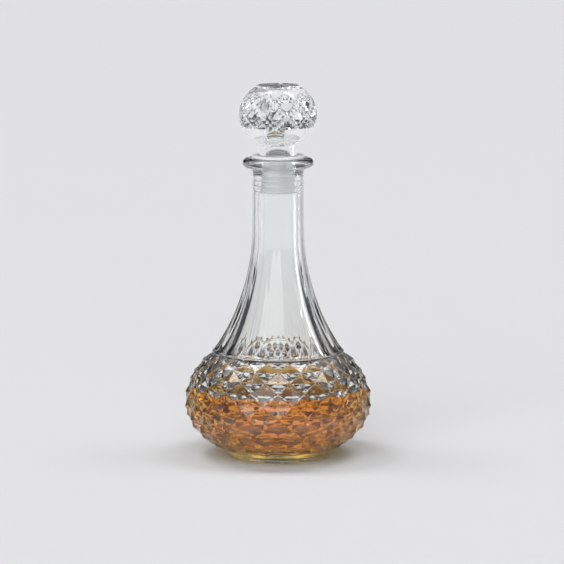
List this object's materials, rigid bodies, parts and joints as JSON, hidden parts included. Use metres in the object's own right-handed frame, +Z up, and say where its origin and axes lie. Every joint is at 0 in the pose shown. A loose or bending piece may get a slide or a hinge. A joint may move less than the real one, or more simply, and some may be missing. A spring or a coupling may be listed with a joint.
{
  "type": "whiskey decanter",
  "caption": "Cut-glass decanter with a diamond-cut belly on a low foot, a tall fluted neck, a rolled lip and a cut ball stopper in a ribbed push-in seal, partly filled with whiskey.",
  "frame": {"origin": "under the middle of the foot, in the plane of its resting ring", "axes": "+Z up along the decanter's axis to the stopper, -Y towards the viewer; the form is round, so X and Y are alike"},
  "size_m": [0.1428, 0.1428, 0.2851],
  "materials": {
    "clear_glass": "polished clear cut glass",
    "amber_whiskey": "clear amber liquid",
    "milky_seal": "soft milky translucent plastic"
  },
  "bodies": {
    "decanter": {"bottle": "clear_glass", "whiskey": "amber_whiskey"},
    "stopper": {"stopper_seal": "milky_seal", "stopper_glass": "clear_glass"}
  },
  "joints": [
    {"name": "stopper_lift", "type": "slide", "parent": "decanter", "child": "stopper", "axis": [0, 0, 1], "range_m": [0, 0.045]}
  ]
}
